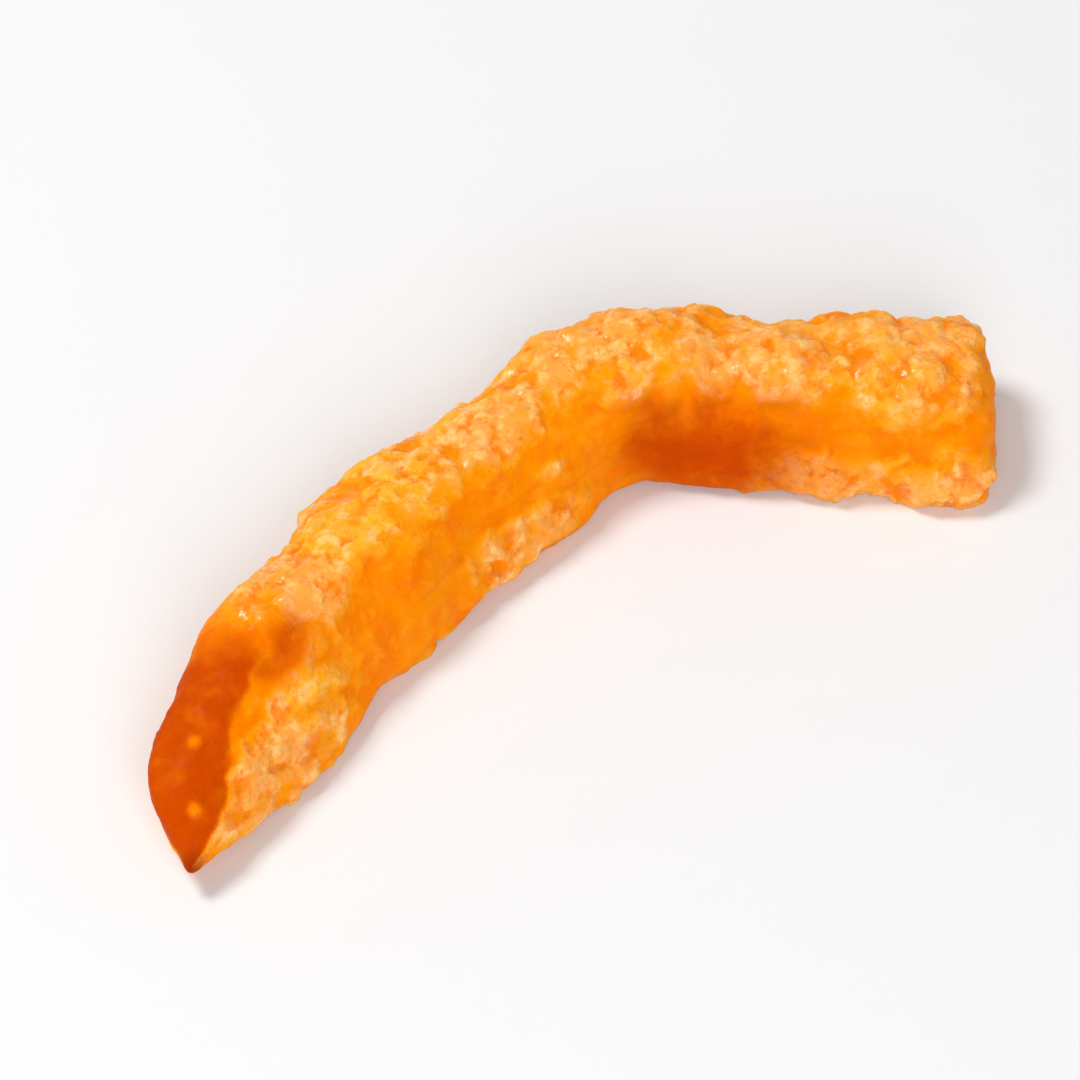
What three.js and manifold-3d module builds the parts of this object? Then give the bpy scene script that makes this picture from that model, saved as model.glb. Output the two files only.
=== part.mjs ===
// One battered, deep-fried sweet potato fry: a stick cut with four long faces, pointed at one end and
// blunt at the other, bent by frying and lying on one of its cut faces.
//
// Units are millimetres and +Z is up. The flat underside is at z = 0, the length runs along X with the
// point towards -X, and the outside of the bend faces +Y.

import * as THREE from 'three';
import { ImprovedNoise } from 'three/addons/math/ImprovedNoise.js';
import { mergeVertices } from 'three/addons/utils/BufferGeometryUtils.js';
import Module from 'manifold-3d';

// Driving dimensions -----------------------------------------------------------------------------------

// The stick's four long edges, from the point to the blunt end, as [x, y, z] before the fry is centred.
// Points with the same place in each list lie on one cross-section.
const INNER_FOOT = [
  [-1.9, -2.8, 2.4], [3.6, -1.9, 1.0], [12.4, -1.3, 0.0], [18.2, 1.2, 0.0], [26.4, 3.4, 0.0],
  [34.0, 4.6, 0.0], [39.6, 5.0, 0.0], [43.6, 2.2, 0.0], [48.4, -2.0, 0.0], [56.2, -8.4, 0.0],
];
const RIDGE = [
  [-2.1, -2.7, 3.6], [2.2, -1.0, 6.2], [7.2, 3.7, 8.6], [14.6, 5.2, 9.5], [25.4, 7.2, 9.8],
  [34.4, 8.2, 9.7], [41.0, 7.8, 9.8], [45.6, 4.8, 9.8], [50.3, 0.0, 9.8], [57.8, -6.6, 9.0],
];
const OUTER_TOP = [
  [-2.5, -2.0, 3.6], [-1.1, 4.8, 6.8], [4.6, 8.4, 7.8], [12.8, 11.8, 7.8], [24.2, 14.8, 7.9],
  [34.7, 15.1, 7.6], [42.8, 15.6, 7.9], [50.4, 12.2, 7.9], [56.4, 6.4, 7.9], [63.1, 1.4, 7.3],
];
const OUTER_FOOT = [
  [-2.3, -2.1, 2.4], [0.6, 3.2, 1.2], [5.6, 7.4, 0.0], [13.0, 11.0, 0.0], [24.4, 14.2, 0.0],
  [34.7, 14.6, 0.0], [42.4, 15.1, 0.0], [49.8, 11.4, 0.0], [55.8, 5.9, 0.0], [62.5, 0.7, 0.0],
];

const CORNER_SQUARENESS = 2.7;   // 2 is an ellipse, and higher numbers are closer to a sharp square
const FULLNESS = 1.06;           // how far the faces swell past the straight lines between the edges
const POINT_CAP = 0.5;           // how far the point reaches past the first cross-section
const POINT_SQUARENESS = 2;
const BLUNT_CAP = 3.6;           // how far the blunt end reaches past the last one
const BLUNT_SQUARENESS = 3.4;
const PRESSED_DEPTH = 0.7;       // how much of the rounded underside is pressed flat

// The crust's lumps: each layer has a size across and a height.
const LUMP_LAYERS = [
  { across: 9.0, height: 0.75 },
  { across: 4.2, height: 0.6 },
];

const LAYER_SHIFT = 17.3;        // moves each layer to its own place in the noise
const FULL_RADIUS = 4.0;         // lumps have their full height where the fry is at least this thick

const RINGS_ALONG = 76;
const POINTS_AROUND = 32;
const RINGS_IN_CAP = 6;
const END_STEP = 0.02;           // how far inside an end, as a share of the length, its direction starts

const BLOCK_WIDTH = 200;         // the block that cuts the flat underside
const BLOCK_DEPTH = 20;
const SAME_POINT = 1e-5;

const CRUST_COLOUR = 0xf28a1c;
const CRUST_ROUGHNESS = 0.45;

// Cross-sections ---------------------------------------------------------------------------------------

const edgeCurve = (points) => new THREE.CatmullRomCurve3(points.map((p) => new THREE.Vector3(...p)));

const edges = {
  innerFoot: edgeCurve(INNER_FOOT),
  ridge: edgeCurve(RIDGE),
  outerTop: edgeCurve(OUTER_TOP),
  outerFoot: edgeCurve(OUTER_FOOT),
};

// Spreads a point of the unit square, u across and v up, over the four corners of the section at t.
function pointInSection(t, u, v) {
  const across = (u + 1) / 2;
  const up = (v + 1) / 2;
  const foot = edges.innerFoot.getPoint(t).lerp(edges.outerFoot.getPoint(t), across);
  const top = edges.ridge.getPoint(t).lerp(edges.outerTop.getPoint(t), across);
  return foot.lerp(top, up);
}

// One ring of points round the section: a square whose corners are rounded as a superellipse.
function sectionRing(t) {
  const ring = [];
  for (let i = 0; i < POINTS_AROUND; i += 1) {
    const angle = (2 * Math.PI * i) / POINTS_AROUND;
    const c = Math.cos(angle);
    const s = Math.sin(angle);
    const sum = Math.abs(c) ** CORNER_SQUARENESS + Math.abs(s) ** CORNER_SQUARENESS;
    const reach = FULLNESS * sum ** (-1 / CORNER_SQUARENESS);
    ring.push(pointInSection(t, reach * c, reach * s));
  }
  return ring;
}

const sectionCentre = (t) => pointInSection(t, 0, 0);

// The direction of the fry's middle line at an end, pointing out of it.
function outwardAt(t) {
  const inside = t === 0 ? END_STEP : 1 - END_STEP;
  return sectionCentre(t).sub(sectionCentre(inside)).normalize();
}

// Rings that close an end: they shrink to a point while they move outwards by `depth`.
function capRings(t, depth, squareness) {
  const centre = sectionCentre(t);
  const outward = outwardAt(t);
  const rings = [];
  for (let k = 1; k < RINGS_IN_CAP; k += 1) {
    const angle = (Math.PI / 2) * (k / RINGS_IN_CAP);
    const scale = Math.cos(angle) ** (2 / squareness);
    const advance = depth * Math.sin(angle) ** (2 / squareness);
    const place = (p) => p.sub(centre).multiplyScalar(scale).add(centre).addScaledVector(outward, advance);
    rings.push(sectionRing(t).map(place));
  }
  return { rings, pole: centre.addScaledVector(outward, depth) };
}

// The skin ---------------------------------------------------------------------------------------------

const noise = new ImprovedNoise();

// How far the crust stands out at a place, from the lump layers.
function lumpHeight(p) {
  let height = 0;
  LUMP_LAYERS.forEach((layer, index) => {
    const shift = LAYER_SHIFT * (index + 1);
    const n = noise.noise(p.x / layer.across + shift, p.y / layer.across, p.z / layer.across + shift);
    height += layer.height * n;
  });
  return height;
}

// Moves each point of a ring away from the ring's middle by the crust's height there. The lumps get
// smaller where the fry is thinner than it is along its body, so that the point stays sharp.
function lumpyRing(ring) {
  const middle = ring.reduce((sum, p) => sum.add(p), new THREE.Vector3()).divideScalar(ring.length);
  return ring.map((p) => {
    const away = p.clone().sub(middle);
    const fullness = Math.min(1, away.length() / FULL_RADIUS);
    return p.clone().addScaledVector(away.normalize(), fullness * lumpHeight(p));
  });
}

// All rings from the point to the blunt end, with the pole that closes each end.
function fryRings() {
  const point = capRings(0, POINT_CAP, POINT_SQUARENESS);
  const blunt = capRings(1, BLUNT_CAP, BLUNT_SQUARENESS);
  const body = [];
  for (let k = 0; k <= RINGS_ALONG; k += 1) {
    body.push(sectionRing(k / RINGS_ALONG));
  }
  const rings = [...point.rings.reverse(), ...body, ...blunt.rings].map(lumpyRing);
  return { rings, startPole: point.pole, endPole: blunt.pole };
}

// A closed mesh over the rings: quads between rings, and a fan at each pole.
function skinOverRings({ rings, startPole, endPole }) {
  const points = [startPole, ...rings.flat(), endPole];
  const at = (ring, i) => 1 + ring * POINTS_AROUND + (i % POINTS_AROUND);
  const last = rings.length - 1;
  const faces = [];
  for (let i = 0; i < POINTS_AROUND; i += 1) {
    faces.push(0, at(0, i + 1), at(0, i));
    faces.push(points.length - 1, at(last, i), at(last, i + 1));
    for (let ring = 0; ring < last; ring += 1) {
      faces.push(at(ring, i), at(ring + 1, i + 1), at(ring + 1, i));
      faces.push(at(ring, i), at(ring, i + 1), at(ring + 1, i + 1));
    }
  }
  const geometry = new THREE.BufferGeometry();
  geometry.setAttribute('position', new THREE.Float32BufferAttribute(points.flatMap((p) => p.toArray()), 3));
  geometry.setIndex(faces);
  return geometry;
}

// The flat underside -----------------------------------------------------------------------------------

const wasm = await Module();
wasm.setup();

function toSolid(geometry) {
  const bare = geometry.clone();
  bare.deleteAttribute('normal');
  bare.deleteAttribute('uv');
  const merged = mergeVertices(bare, SAME_POINT);
  return new wasm.Manifold(new wasm.Mesh({
    numProp: 3,
    vertProperties: Float32Array.from(merged.attributes.position.array),
    triVerts: Uint32Array.from(merged.index.array),
  }));
}

function toGeometry(solid) {
  const mesh = solid.getMesh();
  const geometry = new THREE.BufferGeometry();
  geometry.setAttribute('position', new THREE.Float32BufferAttribute(mesh.vertProperties, 3));
  geometry.setIndex(Array.from(mesh.triVerts));
  geometry.computeVertexNormals();
  return geometry;
}

// Cuts away everything below the plane that the fry rests on, which leaves one flat face there.
function pressFlat(geometry) {
  const lowered = geometry.clone().translate(0, 0, -PRESSED_DEPTH);
  const block = new THREE.BoxGeometry(BLOCK_WIDTH, BLOCK_WIDTH, BLOCK_DEPTH);
  block.translate(0, 0, -BLOCK_DEPTH / 2);
  return toGeometry(toSolid(lowered).subtract(toSolid(block)));
}

// The fry ----------------------------------------------------------------------------------------------

function buildFry() {
  const geometry = pressFlat(skinOverRings(fryRings()));
  geometry.computeBoundingBox();
  const middle = geometry.boundingBox.getCenter(new THREE.Vector3());
  geometry.translate(-middle.x, -middle.y, 0);
  const material = new THREE.MeshStandardMaterial({
    color: CRUST_COLOUR,
    roughness: CRUST_ROUGHNESS,
    metalness: 0,
  });
  const mesh = new THREE.Mesh(geometry, material);
  mesh.name = 'fry';
  return mesh;
}

const group = new THREE.Group();
group.add(buildFry());

export default group;
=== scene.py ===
"""One battered, deep-fried sweet potato fry, lying on a pale floor.

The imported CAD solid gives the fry's size, place and large shape. This script copies that solid, smooths
it into a fine mesh and models the fried batter on it: crust along the edges, lumps, blisters, pits and
the fibres of the bare faces. Lengths named here are in millimetres, and the scene is in metres.
"""

import math

import bmesh
import bpy
import numpy as np
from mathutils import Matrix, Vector


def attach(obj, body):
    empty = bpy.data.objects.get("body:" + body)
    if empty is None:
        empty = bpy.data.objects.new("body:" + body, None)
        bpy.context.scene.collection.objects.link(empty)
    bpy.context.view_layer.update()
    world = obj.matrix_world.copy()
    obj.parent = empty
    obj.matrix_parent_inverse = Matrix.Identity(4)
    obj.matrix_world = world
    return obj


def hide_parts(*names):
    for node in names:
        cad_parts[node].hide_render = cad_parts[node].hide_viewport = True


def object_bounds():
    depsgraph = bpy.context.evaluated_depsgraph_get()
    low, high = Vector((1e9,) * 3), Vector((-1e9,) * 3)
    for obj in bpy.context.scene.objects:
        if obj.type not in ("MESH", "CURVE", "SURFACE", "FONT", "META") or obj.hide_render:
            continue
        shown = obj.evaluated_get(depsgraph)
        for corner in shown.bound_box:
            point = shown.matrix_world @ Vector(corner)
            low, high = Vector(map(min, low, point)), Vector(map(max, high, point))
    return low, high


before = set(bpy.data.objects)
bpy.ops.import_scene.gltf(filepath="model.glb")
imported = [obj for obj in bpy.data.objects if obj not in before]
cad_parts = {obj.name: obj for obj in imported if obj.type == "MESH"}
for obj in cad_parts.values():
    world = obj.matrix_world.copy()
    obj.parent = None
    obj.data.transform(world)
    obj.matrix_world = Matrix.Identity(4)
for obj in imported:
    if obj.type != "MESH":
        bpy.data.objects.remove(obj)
cad_low, cad_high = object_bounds()

MM = 0.001
NODE = "fry"


# The fry's own coordinates ----------------------------------------------------------------------------

# The middle line in plan, from the point to the blunt end, as shares of the box's half length and half
# width. It runs through the middles of the CAD solid's cross-sections.
MIDDLE_LINE = [
    (-0.99, -0.45), (-0.88, -0.17), (-0.70, 0.09), (-0.49, 0.32), (-0.17, 0.52),
    (0.10, 0.58), (0.31, 0.60), (0.49, 0.34), (0.65, -0.05), (0.94, -0.65),
]
MIDDLE_SAMPLES = 240
POINT_HEIGHT = 2.6      # height of the middle line at the point
BODY_HEIGHT = 4.5       # and along the body
TAPER_LENGTH = 16.0     # how far the fry narrows towards its point
POINTS_AT_ONCE = 8192   # how many points are matched with the middle line in one step


def smooth_line(points, samples):
    """Catmull-Rom curve through the points, as an array of evenly numbered samples."""
    pts = np.array([points[0], *points, points[-1]], float)
    pts[0] = 2 * pts[1] - pts[2]
    pts[-1] = 2 * pts[-2] - pts[-3]
    place = np.linspace(0, len(points) - 1 - 1e-9, samples)
    i = place.astype(int)
    t = (place - i)[:, None]
    a, b, c, d = pts[i], pts[i + 1], pts[i + 2], pts[i + 3]
    square = (2 * a - 5 * b + 4 * c - d) * t**2
    cube = (3 * b - 3 * c + d - a) * t**3
    return 0.5 * (2 * b + (c - a) * t + square + cube)


def fry_coordinates(points):
    """For each point: mm along the fry from its point, degrees around it, and mm across and above.

    Around, 0 is the outside of the bend, 90 the top, 180 the inside of the bend and 270 the underside.
    """
    half = np.array([cad_high.x - cad_low.x, cad_high.y - cad_low.y]) / 2 / MM
    line = smooth_line(MIDDLE_LINE, MIDDLE_SAMPLES) * half
    step = np.gradient(line, axis=0)
    tangent = step / np.linalg.norm(step, axis=1)[:, None]
    length = np.concatenate([[0], np.cumsum(np.linalg.norm(np.diff(line, axis=0), axis=1))])
    nearest = np.empty(len(points), int)
    for start in range(0, len(points), POINTS_AT_ONCE):
        part = points[start:start + POINTS_AT_ONCE, :2]
        distance = ((part[:, None, :] - line[None]) ** 2).sum(2)
        nearest[start:start + POINTS_AT_ONCE] = distance.argmin(1)
    offset = points[:, :2] - line[nearest]
    forward = tangent[nearest]
    along = length[nearest] + (offset * forward).sum(1)
    across = offset[:, 1] * forward[:, 0] - offset[:, 0] * forward[:, 1]
    middle = POINT_HEIGHT + (BODY_HEIGHT - POINT_HEIGHT) * smooth_step(0, TAPER_LENGTH, along)
    above = points[:, 2] - middle
    around = np.degrees(np.arctan2(above, across)) % 360
    return along, around, across, above


# Noise ------------------------------------------------------------------------------------------------

# Large odd numbers that a cell's three coordinates and its seed are multiplied and mixed with.
CELL_FACTORS = (374761393, 668265263, 2246822519)
SEED_FACTOR = 3266489917
MIX_FACTORS = (2246822507, 3266489909)

NOISE_SEEDS = 7          # seeds set aside for each gradient noise, of which it uses three
SPOT_SEEDS = 11          # and for each field of spots, which uses five
LAYER_SEED_STEP = 31
NOISE_GAIN = 1.9         # brings gradient noise to about -1 to 1
LAYERED_RANGE = 1.5      # what layered noise is divided by to bring it to the same range
SMALLEST_SPOT = 0.55     # as a share of the radius asked for
SPOT_VARIATION = 0.9


def smooth_step(low, high, value):
    """0 at low, 1 at high and smooth between them; low may be the larger of the two."""
    t = np.clip((value - low) / (high - low), 0, 1)
    return t * t * (3 - 2 * t)


def lattice(cell, seed):
    """A number from 0 to 1 for each whole-numbered cell, always the same for the same seed."""
    x, y, z = (cell[..., k].astype(np.int64).astype(np.uint32) for k in range(3))
    factors = [np.uint32(factor) for factor in CELL_FACTORS]
    h = x * factors[0] + y * factors[1] + z * factors[2]
    h = h + np.uint32((seed * SEED_FACTOR) % 2**32)
    h = (h ^ (h >> np.uint32(15))) * np.uint32(MIX_FACTORS[0])
    h = (h ^ (h >> np.uint32(13))) * np.uint32(MIX_FACTORS[1])
    h = h ^ (h >> np.uint32(16))
    return h.astype(float) / 2**32


CORNERS = [np.array([i & 1, (i >> 1) & 1, (i >> 2) & 1]) for i in range(8)]
NEIGHBOURS = [np.array([i, j, k]) for i in (-1, 0, 1) for j in (-1, 0, 1) for k in (-1, 0, 1)]


def noise(points, size, seed):
    """Gradient noise from about -1 to 1, with features of the given size."""
    scaled = points / size
    cell = np.floor(scaled)
    inside = scaled - cell
    fade = inside**3 * (inside * (inside * 6 - 15) + 10)
    total = np.zeros(len(points))
    for corner in CORNERS:
        at = cell + corner
        gradient = np.stack([lattice(at, seed * NOISE_SEEDS + k) * 2 - 1 for k in range(3)], axis=1)
        weight = np.where(corner, fade, 1 - fade).prod(axis=1)
        total += weight * (gradient * (inside - corner)).sum(axis=1)
    return np.clip(total * NOISE_GAIN, -1, 1)


def layered_noise(points, size, seed, layers=3):
    """Noise with smaller and weaker layers added, each half the size of the last."""
    total = np.zeros(len(points))
    weight = 1.0
    for k in range(layers):
        total += weight * noise(points, size / 2**k, seed + LAYER_SEED_STEP * k)
        weight *= 0.5
    return total / LAYERED_RANGE


def warped(points, size, amount, seed):
    """The points moved about by noise, which makes what is drawn on them ragged."""
    shift = np.stack([noise(points, size, seed + k) for k in range(3)], axis=1)
    return points + amount * shift


def spots(points, spacing, radius, share, seed):
    """Round spots at random places: 1 at a spot's middle, falling to 0 at its radius."""
    first_seed = seed * SPOT_SEEDS
    scaled = points / spacing
    cell = np.floor(scaled)
    height = np.zeros(len(points))
    for neighbour in NEIGHBOURS:
        at = cell + neighbour
        place = at + np.stack([lattice(at, first_seed + k) for k in range(3)], axis=1)
        present = lattice(at, first_seed + 3) < share
        reach = radius * (SMALLEST_SPOT + SPOT_VARIATION * lattice(at, first_seed + 4))
        distance = np.linalg.norm(scaled - place, axis=1) * spacing
        dome = np.clip(1 - (distance / reach) ** 2, 0, 1)
        height = np.maximum(height, np.where(present, dome, 0))
    return height


# Where the batter is ----------------------------------------------------------------------------------

# Each patch of pale crust: mm along, degrees around, half its length in mm, half its spread in degrees,
# and how strongly it covers the flesh.
CRUST_PATCHES = [
    (20.0, 78, 5.2, 58, 1.00),    # the top, from the bare face of the point to the blunt end
    (28.5, 70, 7.0, 70, 0.95),
    (37.5, 72, 7.0, 68, 1.00),
    (46.5, 78, 7.0, 64, 1.00),
    (55.0, 84, 8.0, 62, 1.05),
    (66.0, 84, 8.0, 66, 0.95),
    (8.0, 172, 11.0, 54, 1.10),   # inside of the bend, from the point
    (36.5, 196, 7.0, 21, 1.00),   # along the foot of the inside of the bend
    (40.0, 161, 1.6, 8, 0.80),
    (25.0, 228, 7.0, 16, 0.70),
    (64.0, 206, 6.5, 30, 0.85),
    (71.5, 40, 2.4, 44, 0.90),    # the rim of the blunt end
    (69.5, 128, 4.6, 40, 0.95),
    (71.0, 210, 3.4, 40, 0.95),
    (72.0, 300, 1.8, 46, 0.80),
    (7.0, 338, 8.0, 34, 1.00),    # outside of the bend, from the point
    (18.0, 345, 4.5, 24, 0.70),
    (29.0, 322, 9.0, 26, 0.85),
    (45.0, 350, 7.0, 30, 0.80),
    (61.0, 326, 8.0, 34, 0.85),
    (24.0, 262, 7.0, 22, 0.60),   # underside
    (50.0, 270, 9.0, 36, 0.60),
]

# Where the crust is yellow instead of peach, in the same form.
YELLOW_PATCHES = [
    (27.5, 80, 5.5, 80, 1.00),
    (36.0, 36, 9.0, 44, 0.80),
    (16.0, 166, 4.0, 34, 1.00),
    (49.0, 130, 5.0, 26, 0.60),
    (66.0, 130, 5.0, 60, 0.60),
    (20.0, 330, 9.0, 50, 0.80),
    (56.0, 350, 7.0, 40, 0.80),
]

# The darker places, in the same form: harder fried ones, and a painted shadow at the elbow.
TOAST_AND_SHADOW_PATCHES = [
    (15.6, 112, 3.2, 36, 0.72),   # behind the bare face of the point
    (54.5, 185, 8.5, 50, 1.00),   # the inside of the bend's elbow: partly toast, partly a painted shadow
    (22.0, 345, 4.0, 16, 0.40),
    (38.0, 285, 9.0, 26, 0.45),
]

# Small round blisters on the bare face of the point: mm along, degrees around, radius in mm. They stand up
# from the face, and are painted paler as painted highlights.
POINT_BLISTERS = [(3.0, 91, 0.85), (7.0, 71, 0.95)]

# The bare cut face on top of the point, in mm along and degrees around. It lies between the outside of
# the bend and a ridge, which is on the inner side at the point and comes round to the top.
FACET_START = (-16, 20)         # degrees between which the face begins
RIDGE_AT_POINT = 144
RIDGE_COMES_ROUND = 42
RIDGE_STRETCH = (3.5, 10.0)     # mm along between which the ridge comes round
RIDGE_SOFTNESS = 10
FACET_LENGTH = 13.2             # mm from the point to its far edge, at the outside of the bend
FACET_SLANT = 0.018             # how many mm further the far edge lies for each degree round from there
FACET_SLANT_END = 130
FAR_EDGE_SOFTNESS = 2.4

# The stick's edges.
HALF_THICKNESS = (5.0, 4.7)     # mm across and mm above
LONG_EDGE_REACH = (0.28, 0.72)  # 0 is the middle of a face, and 1 the corner of a square section
RIM_ALONG = (68.5, 71.5)        # mm along between which the rim of the blunt end begins
RIM_FROM_MIDDLE = (2.2, 4.0)    # and mm away from the middle line


def patch_cover(patches, along, around, flatness=2):
    """How far a list of patches covers each point, from 0 to 1: the flatter, the firmer their edges."""
    bare = np.ones(len(along))
    for at, angle, half_length, half_angle, strength in patches:
        turn = (around - angle + 180) % 360 - 180
        reach = ((along - at) / half_length) ** 2 + (turn / half_angle) ** 2
        patch = np.exp(-(reach**flatness))
        bare *= 1 - np.clip(strength * patch, 0, 1)
    return 1 - bare


def point_facet(along, around):
    """1 on the bare cut face on top of the point, between the ridge and the outer edge, 0 elsewhere."""
    turn = (around + 90) % 360 - 90
    ridge = RIDGE_AT_POINT - RIDGE_COMES_ROUND * smooth_step(*RIDGE_STRETCH, along)
    far_edge = FACET_LENGTH + FACET_SLANT * np.clip(turn, 0, FACET_SLANT_END)
    sides = smooth_step(RIDGE_SOFTNESS, -RIDGE_SOFTNESS, turn - ridge) * smooth_step(*FACET_START, turn)
    return sides * smooth_step(FAR_EDGE_SOFTNESS, -FAR_EDGE_SOFTNESS, along - far_edge)


def edge_cover(along, across, above):
    """1 along the stick's four long edges and the rim of its blunt end, 0 in the middle of its faces."""
    long_edges = np.abs(across / HALF_THICKNESS[0]) * np.abs(above / HALF_THICKNESS[1])
    rim = smooth_step(*RIM_ALONG, along) * smooth_step(*RIM_FROM_MIDDLE, np.hypot(across, above))
    return np.maximum(smooth_step(*LONG_EDGE_REACH, long_edges), rim)


# The skin ---------------------------------------------------------------------------------------------

VOXEL = 0.37            # size of the remeshed skin's faces before they are divided once
SMOOTHING_STEPS = 12
WELD_DISTANCE = 1e-7    # in metres

# Each noise of the batter: the size of its features in mm, and its seed.
BLOTCHES = (3.4, 11)        # large ragged areas, which move the patches' edges about
FLECKS = (1.5, 17)
LUMPS = (2.4, 23)
LARGE_GRAINS = (1.5, 43)
SMALL_GRAINS = (0.8, 53)
GRAIN_REACH = 0.95          # the radius of a grain, as a share of the distance between grains
SWELL = (4.6, 91)           # broad rises and dips
FIBRES = (1.0, 83)          # in a space that is measured in lengths and widths of a fibre
FIBRE_SHAPE = (7.0, 0.55)   # how long and how wide a fibre is, in mm

# How points are moved about before noise is read there: size of the noise, mm moved, seed.
RAGGED_WARP = (2.6, 0.8, 5)
LARGE_GRAIN_WARP = (1.2, 0.35, 41)
SMALL_GRAIN_WARP = (0.7, 0.2, 47)

# Fields of blisters: mm apart, radius in mm, what share of the places have one, seed.
BLISTERS = (1.8, 0.7, 0.45, 61)
SMALL_BLISTERS = (1.1, 0.36, 0.25, 67)

# How high each thing stands on the crust, and then on the bare flesh, in mm.
CRUST_LUMP_HEIGHT = 0.36
LARGE_GRAIN_HEIGHT = 0.48
SMALL_GRAIN_HEIGHT = 0.26
CRUST_BLISTER_HEIGHT = 0.20
FIBRE_HEIGHT = 0.02
FLESH_LUMP_HEIGHT = 0.14
FLECK_HEIGHT = 0.05
FLESH_BLISTER_HEIGHT = 0.06

# And on both: the swell, what the long edges add to it, and the blisters of the point.
SWELL_HEIGHT = 0.24
EDGE_SWELL_HEIGHT = 0.16
POINT_BLISTER_HEIGHT = 0.14

COARSE_FROM = (42, 52)      # mm along between which the crust's grains get coarser
TAPER_STRETCH = (0.5, 9.0)  # mm along between which the relief reaches its full height
POINT_RELIEF = 0.30         # the share of the relief's height at the point
SHOWS_AS_CRUST = (0.22, 0.92)   # the cover at which crust begins, and at which it is complete
SHOWS_AS_HILL = (0.15, 0.85)    # the same for the crust's hills; lower places are hollows, which get painted shade
FACET_TOAST = 0.84          # how toasted the bare face of the point is
BLISTER_PAINTED_HIGHLIGHT = 0.65     # how much paler the point's blisters are painted than the face they are on: painted highlights

DOWNWARD = (0.55, 0.95)     # how far a face looks down where it starts to count as underside, and fully
NEAR_FLOOR = (0.9, 0.2)     # mm above the floor
UNDERSIDE_INSET = 0.22      # mm by which the underside is drawn in, so that only its crust touches the floor


def fine_copy(node):
    """A smooth, fine mesh object of the same shape as a CAD node."""
    mesh = node.data.copy()
    piece = bpy.data.objects.new("sweet_potato_fry", mesh)
    bpy.context.scene.collection.objects.link(piece)
    welded = bmesh.new()
    welded.from_mesh(mesh)
    bmesh.ops.remove_doubles(welded, verts=welded.verts, dist=WELD_DISTANCE)
    welded.to_mesh(mesh)
    welded.free()
    remesh = piece.modifiers.new("remesh", "REMESH")
    remesh.mode = "VOXEL"
    remesh.voxel_size = VOXEL * MM
    smooth = piece.modifiers.new("smooth", "SMOOTH")
    smooth.factor = 0.5
    smooth.iterations = SMOOTHING_STEPS
    divide = piece.modifiers.new("divide", "SUBSURF")
    divide.levels = 1
    divide.render_levels = 1
    evaluated = piece.evaluated_get(bpy.context.evaluated_depsgraph_get())
    piece.data = bpy.data.meshes.new_from_object(evaluated)
    piece.modifiers.clear()
    bpy.data.meshes.remove(mesh)
    piece.data.materials.clear()
    piece.data.polygons.foreach_set("use_smooth", np.ones(len(piece.data.polygons), bool))
    return piece


def read_vectors(collection, name):
    values = np.empty(len(collection) * 3, np.float32)
    collection.foreach_get(name, values)
    return values.reshape(-1, 3).astype(float)


def write_attribute(mesh, name, values):
    layer = mesh.attributes.new(name, "FLOAT", "POINT")
    layer.data.foreach_set("value", values.astype(np.float32))


def cauliflower(points, size, seed):
    """Round lumps packed against one another, 1 at their tops and near 0 in the creases between them."""
    return spots(points, size, size * GRAIN_REACH, 1.0, seed)


def point_blisters(along, around, thickness):
    """Domes, 1 high, at the places listed for the bare face of the point."""
    height = np.zeros(len(along))
    for at, angle, radius in POINT_BLISTERS:
        away = np.hypot(along - at, np.radians(around - angle) * thickness)
        height = np.maximum(height, np.clip(1 - (away / radius) ** 2, 0, 1) ** 3)
    return height


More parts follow.
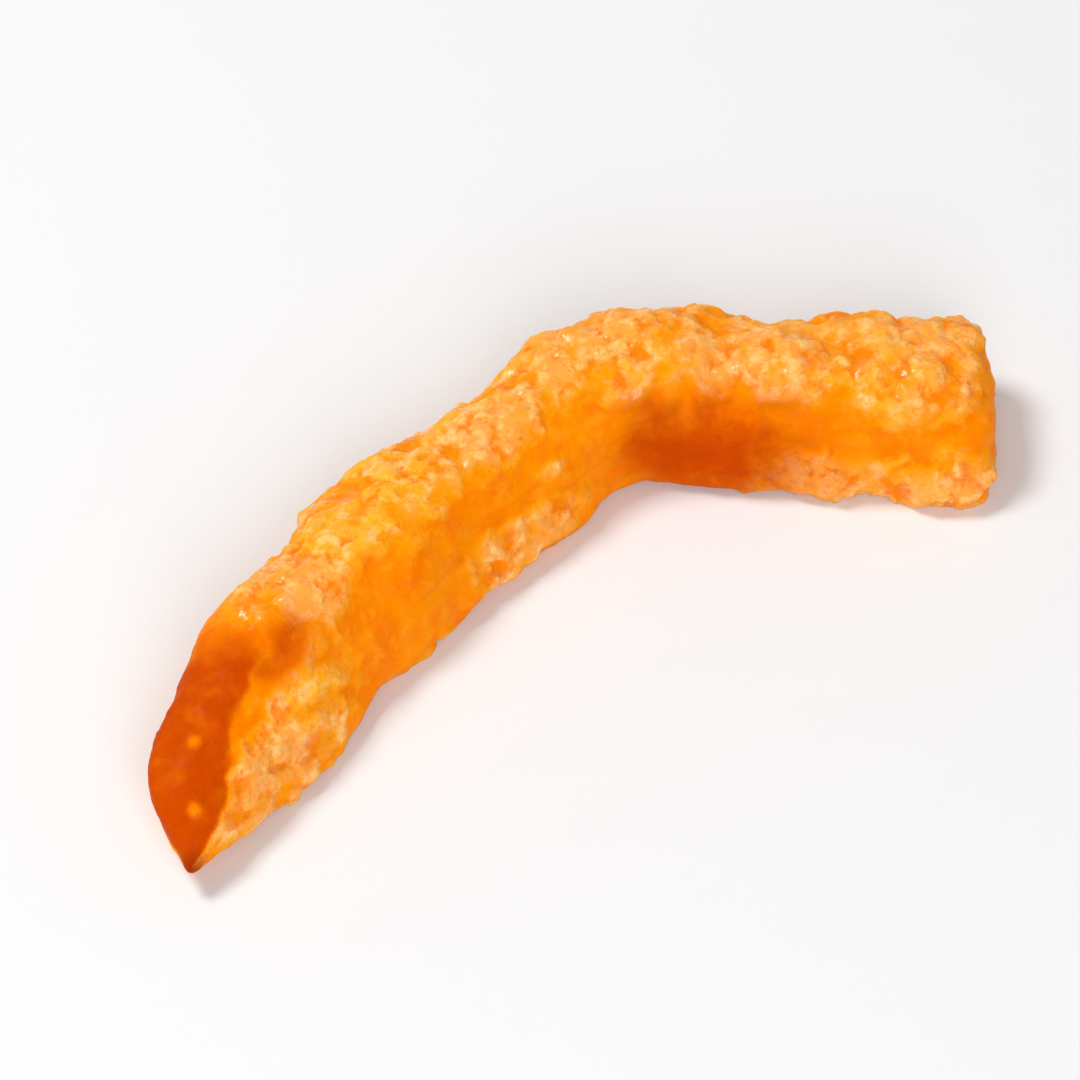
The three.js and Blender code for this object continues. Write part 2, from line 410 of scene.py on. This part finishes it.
def batter_fields(points):
    """What the batter is like at each point: cover, tint, toast (with a painted shadow and painted
    highlights), height in mm and hollowness (for painted shade in creases).

    The bare numbers are the weights in which noises are mixed, or how many mm or degrees noise moves the
    edge of a patch.
    """
    along, around, across, above = fry_coordinates(points)
    ragged = warped(points, *RAGGED_WARP)
    blotch = layered_noise(ragged, *BLOTCHES)
    edge = edge_cover(along, across, above)
    cover = patch_cover(CRUST_PATCHES, along, around)
    toast_and_painted_light = patch_cover(TOAST_AND_SHADOW_PATCHES, along + 1.5 * blotch, around + 14 * blotch, flatness=1)
    flecks = noise(ragged, *FLECKS)
    facet = point_facet(along + 1.6 * blotch, around + 8 * blotch + 6 * flecks)
    crust = smooth_step(*SHOWS_AS_CRUST, cover * 0.84 + 0.08 * edge + 0.40 * blotch + 0.18 * flecks)
    crust *= 1 - facet

    lumps = layered_noise(ragged, *LUMPS)
    large_grains = cauliflower(warped(points, *LARGE_GRAIN_WARP), *LARGE_GRAINS)
    small_grains = cauliflower(warped(points, *SMALL_GRAIN_WARP), *SMALL_GRAINS)
    blisters = spots(ragged, *BLISTERS)
    small_blisters = spots(points, *SMALL_BLISTERS)
    fibre_length, fibre_width = FIBRE_SHAPE
    fibre_space = np.stack([along / fibre_length, across / fibre_width, above / fibre_width], axis=1)
    fibres = noise(fibre_space, *FIBRES)
    swell = noise(points, *SWELL)
    domes = point_blisters(along, around, np.hypot(across, above))

    coarse = 0.7 + 0.3 * smooth_step(*COARSE_FROM, along) + 0.25 * swell
    grains = LARGE_GRAIN_HEIGHT * large_grains + SMALL_GRAIN_HEIGHT * small_grains
    crusty = CRUST_LUMP_HEIGHT * lumps + coarse * grains + CRUST_BLISTER_HEIGHT * blisters
    smooth = FIBRE_HEIGHT * fibres + FLESH_LUMP_HEIGHT * lumps + FLECK_HEIGHT * flecks
    smooth += FLESH_BLISTER_HEIGHT * small_blisters
    taper = smooth_step(*TAPER_STRETCH, along)
    height = (SWELL_HEIGHT + EDGE_SWELL_HEIGHT * edge) * swell + crust * crusty + (1 - crust) * smooth
    height = height * (POINT_RELIEF + (1 - POINT_RELIEF) * taper) + POINT_BLISTER_HEIGHT * facet * domes
    hills = 0.60 * large_grains + 0.40 * small_grains + 0.45 * lumps
    # Hollows between the crust's hills, into which the material paints shade.
    hollow_shade = 1 - smooth_step(*SHOWS_AS_HILL, hills)
    facet_toast = facet * (FACET_TOAST + 0.22 * blotch + 0.10 * flecks)
    # The point's blisters are painted paler than their toasted face: painted highlights.
    toast_and_painted_light = np.maximum(toast_and_painted_light, facet_toast) * (1 - BLISTER_PAINTED_HIGHLIGHT * domes)
    return {
        "crust": crust,
        "yellow": patch_cover(YELLOW_PATCHES, along, around + 15 * blotch),
        "toast_and_painted_light": np.clip(toast_and_painted_light + 0.10 * blotch, 0, 1),
        "hollow_shade": hollow_shade,
        "fibre": fibres * 0.5 + 0.5,
        "along": along,
        "height": height,
    }


def raise_batter(piece):
    """Moves the skin out by the batter's height, and keeps what it was made from as attributes."""
    mesh = piece.data
    points = read_vectors(mesh.vertices, "co") / MM
    normals = read_vectors(mesh.vertices, "normal")
    fields = batter_fields(points)
    height = fields["height"]
    resting = smooth_step(*DOWNWARD, -normals[:, 2]) * smooth_step(*NEAR_FLOOR, points[:, 2])
    height = height - resting * UNDERSIDE_INSET
    moved = points + normals * height[:, None]
    moved[:, 2] = np.maximum(moved[:, 2], 0)
    mesh.vertices.foreach_set("co", (moved * MM).astype(np.float32).ravel())
    for name in ("crust", "yellow", "toast_and_painted_light", "hollow_shade", "fibre", "along"):
        write_attribute(mesh, name, fields[name])
    mesh.update()


# Materials --------------------------------------------------------------------------------------------

class Nodes:
    """A material's node tree, with short methods that add a node and return its output."""

    def __init__(self, name):
        self.material = bpy.data.materials.new(name)
        self.material.use_nodes = True
        self.tree = self.material.node_tree
        self.shader = self.tree.nodes["Principled BSDF"]

    def add(self, kind, inputs=(), **settings):
        node = self.tree.nodes.new(kind)
        for key, value in settings.items():
            setattr(node, key, value)
        for key, value in dict(inputs).items():
            self.plug(value, node.inputs[key])
        return node

    def plug(self, value, socket):
        if isinstance(value, bpy.types.NodeSocket):
            self.tree.links.new(value, socket)
        else:
            socket.default_value = value

    def places(self):
        """Places on the object, in millimetres."""
        coordinates = self.add("ShaderNodeTexCoord").outputs["Object"]
        scaled = self.add("ShaderNodeVectorMath", {0: coordinates, "Scale": 1 / MM}, operation="SCALE")
        return scaled.outputs["Vector"]

    def attribute(self, name):
        return self.add("ShaderNodeAttribute", attribute_name=name).outputs["Fac"]

    def noise(self, places, size, detail=2.0, roughness=0.5, distortion=0.0):
        node = self.add("ShaderNodeTexNoise", {
            "Vector": places, "Scale": 1 / size, "Detail": detail,
            "Roughness": roughness, "Distortion": distortion,
        })
        return node.outputs["Fac"]

    def maths(self, operation, a, b=0.0):
        return self.add("ShaderNodeMath", {0: a, 1: b}, operation=operation).outputs[0]

    def between(self, value, low, high, to_low=0.0, to_high=1.0):
        """Stretches a value's range from low..high to to_low..to_high, smoothly and clamped."""
        node = self.add("ShaderNodeMapRange", {
            "Value": value, "From Min": low, "From Max": high, "To Min": to_low, "To Max": to_high,
        }, interpolation_type="SMOOTHSTEP")
        return node.outputs["Result"]

    def varied(self, value, noise, strength):
        """The value, raised and lowered by a noise that is 0.5 on average."""
        swing = self.maths("MULTIPLY", self.maths("SUBTRACT", noise, 0.5), strength)
        return self.maths("ADD", value, swing)

    def part_of(self, value, share):
        return self.maths("MULTIPLY", value, share)

    def mix(self, share, first, second):
        """The first colour where share is 0, and the second where it is 1."""
        node = self.add("ShaderNodeMix", data_type="RGBA")
        factor, a, b = (node.inputs[k] for k in (0, 6, 7))    # 6 and 7 are the colours A and B
        self.plug(share, factor)
        self.plug(first, a)
        self.plug(second, b)
        return node.outputs[2]                                # and 2 is the mixed colour


def linear(red, green, blue):
    """A colour given in 0..255 screen values, as the linear colour that a shader takes."""
    def channel(value):
        value /= 255
        return value / 12.92 if value <= 0.04045 else ((value + 0.055) / 1.055) ** 2.4
    return (channel(red), channel(green), channel(blue), 1.0)


FLESH_ORANGE = linear(250, 142, 0)
FLESH_DEEP = linear(244, 120, 0)
FLESH_LIGHT = linear(254, 156, 22)
THIN_AMBER = linear(252, 152, 10)
CRUST_YELLOW = linear(253, 174, 44)
CRUST_PEACH = linear(250, 164, 70)
CRUST_CREAM = linear(255, 194, 112)
# The gold of the crust's specks, also used as painted shade in its creases.
CRUST_GOLD_AND_CREASE_SHADE = linear(244, 130, 8)
# Dark red of toast, also used for the painted shadow at the elbow.
TOAST_RED_AND_SHADOW = linear(194, 68, 0)
TIP_BROWN = linear(150, 48, 4)

# Sizes of the material's noises, in mm.
MOTTLE_SIZE = 2.4
PATCH_SIZE = 1.1
GRAIN_SIZE = 0.36
SPECK_SIZE = 0.62
WET_SIZE = 1.3

# For each change of colour or gloss, the value at which it starts and the value at which it is complete.
DEEP_FLESH = (0.30, 0.75)
FIBRE_STREAKS = (0.55, 0.9)
LIGHT_FLESH = (0.50, 0.66)
YELLOW_BATTER = (0.15, 0.75)
CREAM_BATTER = (0.46, 0.66)
SHADED_CREASES = (0.0, 0.75)
GOLD_SPECKS = (0.58, 0.72)
THIN_COAT = (0.05, 0.50)
FULL_COAT = (0.30, 1.0)
SCORCH_AND_PAINTED_LIGHT = (0.05, 0.95)
BROWN_TIP = (1.5, -0.2)         # mm from the point
COVERED = (0.2, 0.8)
WET_SPOTS = (0.48, 0.62)
DRY_TOAST = (0.3, 0.8)

# The strongest that a streak, a lighter place or a speck gets.
STREAK_SHARE = 0.45
LIGHT_SHARE = 0.5
SPECK_SHARE = 0.6

# On bare flesh and then on full crust.
ROUGHNESS = (0.42, 0.50)
GRAIN_RELIEF = (0.60, 1.0)
WETNESS = (0.15, 1.0)

GRAIN_ROUGHNESS = 0.12
PATCH_RELIEF = 0.6
BUMP_DEPTH = 0.16               # mm
BUMP_STRENGTH = 0.9
MOST_WET = 0.85
TOAST_WETNESS = 0.15            # the share of the wetness that is left on toast


def fried_material():
    """Oily orange flesh with pale, granular batter where the crust attribute is high."""
    n = Nodes("fried_sweet_potato")
    places = n.places()
    crust = n.attribute("crust")
    yellow = n.attribute("yellow")
    toast_and_painted_light = n.attribute("toast_and_painted_light")
    hollow_shade = n.attribute("hollow_shade")
    fibre = n.attribute("fibre")
    along = n.attribute("along")

    mottle = n.noise(places, MOTTLE_SIZE, detail=3.0)
    patchy = n.noise(places, PATCH_SIZE, detail=4.0, roughness=0.6)
    grain = n.noise(places, GRAIN_SIZE, detail=3.0, roughness=0.6)
    speck = n.noise(places, SPECK_SIZE, distortion=0.6)

    flesh = n.mix(n.between(mottle, *DEEP_FLESH), FLESH_ORANGE, FLESH_DEEP)
    flesh = n.mix(n.part_of(n.between(fibre, *FIBRE_STREAKS), STREAK_SHARE), flesh, FLESH_DEEP)
    flesh = n.mix(n.part_of(n.between(patchy, *LIGHT_FLESH), LIGHT_SHARE), flesh, FLESH_LIGHT)

    tint = n.varied(yellow, mottle, 1.6)
    batter = n.mix(n.between(tint, *YELLOW_BATTER), CRUST_PEACH, CRUST_YELLOW)
    batter = n.mix(n.between(patchy, *CREAM_BATTER), batter, CRUST_CREAM)
    # Painted shade: the crust is drawn a deeper gold in its creases and hollows.
    crease_shade = n.varied(hollow_shade, grain, 1.2)
    batter = n.mix(n.between(crease_shade, *SHADED_CREASES), batter, CRUST_GOLD_AND_CREASE_SHADE)
    batter = n.mix(n.part_of(n.between(speck, *GOLD_SPECKS), SPECK_SHARE), batter, CRUST_GOLD_AND_CREASE_SHADE)

    ragged = n.varied(n.varied(crust, patchy, 1.0), grain, 0.5)
    colour = n.mix(n.between(ragged, *THIN_COAT), flesh, THIN_AMBER)
    colour = n.mix(n.between(ragged, *FULL_COAT), colour, batter)
    # Toast darkens the colour to red, and so does the painted shadow at the elbow; the point's blisters are
    # left paler as painted highlights.
    scorch_and_painted_light = n.varied(toast_and_painted_light, patchy, 0.5)
    colour = n.mix(n.between(scorch_and_painted_light, *SCORCH_AND_PAINTED_LIGHT), colour, TOAST_RED_AND_SHADOW)
    colour = n.mix(n.between(along, *BROWN_TIP), colour, TIP_BROWN)
    cover = n.between(ragged, *COVERED)

    n.plug(colour, n.shader.inputs["Base Color"])
    rough = n.maths("ADD", n.between(cover, 0, 1, *ROUGHNESS), n.part_of(grain, GRAIN_ROUGHNESS))
    n.plug(rough, n.shader.inputs["Roughness"])

    bumps = n.part_of(grain, n.between(cover, 0, 1, *GRAIN_RELIEF))
    fine = n.maths("ADD", bumps, n.part_of(patchy, PATCH_RELIEF))
    bump = n.add("ShaderNodeBump", {"Height": fine, "Distance": BUMP_DEPTH * MM, "Strength": BUMP_STRENGTH})
    n.plug(bump.outputs["Normal"], n.shader.inputs["Normal"])

    wet = n.between(n.noise(places, WET_SIZE), *WET_SPOTS, 0.0, MOST_WET)
    wet = n.part_of(wet, n.between(cover, 0, 1, *WETNESS))
    wet = n.part_of(wet, n.between(toast_and_painted_light, *DRY_TOAST, 1.0, TOAST_WETNESS))
    n.plug(wet, n.shader.inputs["Coat Weight"])

    inputs = n.shader.inputs
    inputs["IOR"].default_value = 1.12
    inputs["Specular IOR Level"].default_value = 0.25
    inputs["Specular Tint"].default_value = (1.0, 0.72, 0.35, 1.0)
    inputs["Subsurface Weight"].default_value = 0.35
    inputs["Subsurface Radius"].default_value = (1.0, 0.30, 0.05)
    inputs["Subsurface Scale"].default_value = 1.0 * MM
    inputs["Coat Roughness"].default_value = 0.18
    inputs["Coat IOR"].default_value = 1.4
    return n.material


HORIZON_LIGHT = 0.90          # brightness of the surround at the horizon, and of the floor far away
OVERHEAD_LIGHT = 0.30
OVERHEAD_FADE = (0.12, 0.55)  # between these heights on a sphere of radius 1 the first turns into the second
FLOOR_FADE = (0.13, 0.50)     # metres from the piece between which the floor turns into the horizon
FLOOR_WHITE = (0.80, 0.80, 0.80, 1)


def floor_material():
    """A matt white floor that fades into the horizon, so that no edge shows in a low view."""
    n = Nodes("pale_floor")
    n.shader.inputs["Base Color"].default_value = FLOOR_WHITE
    n.shader.inputs["Roughness"].default_value = 0.75
    n.shader.inputs["Specular IOR Level"].default_value = 0.1
    coordinates = n.add("ShaderNodeTexCoord").outputs["Object"]
    distance = n.add("ShaderNodeVectorMath", {0: coordinates}, operation="LENGTH").outputs["Value"]
    glow = n.add("ShaderNodeEmission", {"Strength": HORIZON_LIGHT}).outputs["Emission"]
    share = n.between(distance, *FLOOR_FADE)
    fade = n.add("ShaderNodeMixShader", {0: share, 1: n.shader.outputs[0], 2: glow})
    n.plug(fade.outputs[0], n.tree.nodes["Material Output"].inputs["Surface"])
    return n.material


# The piece --------------------------------------------------------------------------------------------

fry = fine_copy(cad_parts[NODE])
raise_batter(fry)
fry.data.materials.append(fried_material())
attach(fry, "root")
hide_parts(NODE)


# Floor, light and camera ------------------------------------------------------------------------------

FLOOR_HALF = 3.0
CAMERA_AZIMUTH = -39.0
CAMERA_ELEVATION = 50.0
CAMERA_DISTANCE = 0.55
CAMERA_LENS = 280.0

# Each softbox: name, azimuth, elevation, distance in metres, size in metres, power in watts.
SOFTBOXES = [
    ("key", 215, 62, 0.60, 0.20, 2.2),
    ("fill", -30, 38, 0.70, 0.45, 2.5),
]


def direction(azimuth, elevation):
    """Unit vector towards this azimuth and elevation, in degrees: azimuth 0 is -Y, and 90 is +X."""
    a, e = math.radians(azimuth), math.radians(elevation)
    return Vector((math.sin(a) * math.cos(e), -math.cos(a) * math.cos(e), math.sin(e)))


def make_floor():
    mesh = bpy.data.meshes.new("floor")
    s = FLOOR_HALF
    mesh.from_pydata([(-s, -s, 0), (s, -s, 0), (s, s, 0), (-s, s, 0)], [], [(0, 1, 2, 3)])
    floor = bpy.data.objects.new("floor", mesh)
    bpy.context.scene.collection.objects.link(floor)
    mesh.materials.append(floor_material())


def make_softbox(name, azimuth, elevation, distance, size, power):
    light = bpy.data.lights.new(name, "AREA")
    light.shape = "DISK"
    light.size = size
    light.energy = power
    lamp = bpy.data.objects.new(name, light)
    bpy.context.scene.collection.objects.link(lamp)
    towards = direction(azimuth, elevation)
    lamp.location = towards * distance
    lamp.rotation_mode = "QUATERNION"
    lamp.rotation_quaternion = towards.to_track_quat("Z", "Y")


def make_world():
    """A studio surround: near white round the horizon and darker overhead, where the softboxes are."""
    world = bpy.data.worlds.new("studio")
    bpy.context.scene.world = world
    world.use_nodes = True
    tree = world.node_tree
    background = tree.nodes["Background"]
    coordinates = tree.nodes.new("ShaderNodeTexCoord")
    split = tree.nodes.new("ShaderNodeSeparateXYZ")
    height = tree.nodes.new("ShaderNodeMapRange")
    height.interpolation_type = "SMOOTHSTEP"
    height.inputs["From Min"].default_value = OVERHEAD_FADE[0]
    height.inputs["From Max"].default_value = OVERHEAD_FADE[1]
    height.inputs["To Min"].default_value = HORIZON_LIGHT
    height.inputs["To Max"].default_value = OVERHEAD_LIGHT
    tree.links.new(coordinates.outputs["Generated"], split.inputs[0])
    tree.links.new(split.outputs["Z"], height.inputs["Value"])
    tree.links.new(height.outputs["Result"], background.inputs["Strength"])
    background.inputs["Color"].default_value = (1, 1, 1, 1)


def make_camera():
    data = bpy.data.cameras.new("camera")
    data.lens = CAMERA_LENS
    data.clip_start = 0.01
    data.clip_end = 20
    camera = bpy.data.objects.new("camera", data)
    bpy.context.scene.collection.objects.link(camera)
    back = direction(CAMERA_AZIMUTH, CAMERA_ELEVATION)
    target = (cad_low + cad_high) / 2
    camera.location = target + back * CAMERA_DISTANCE
    camera.rotation_mode = "QUATERNION"
    camera.rotation_quaternion = back.to_track_quat("Z", "Y")
    bpy.context.scene.camera = camera


make_floor()
for softbox in SOFTBOXES:
    make_softbox(*softbox)
make_world()
make_camera()
bpy.context.scene.view_settings.view_transform = "Standard"
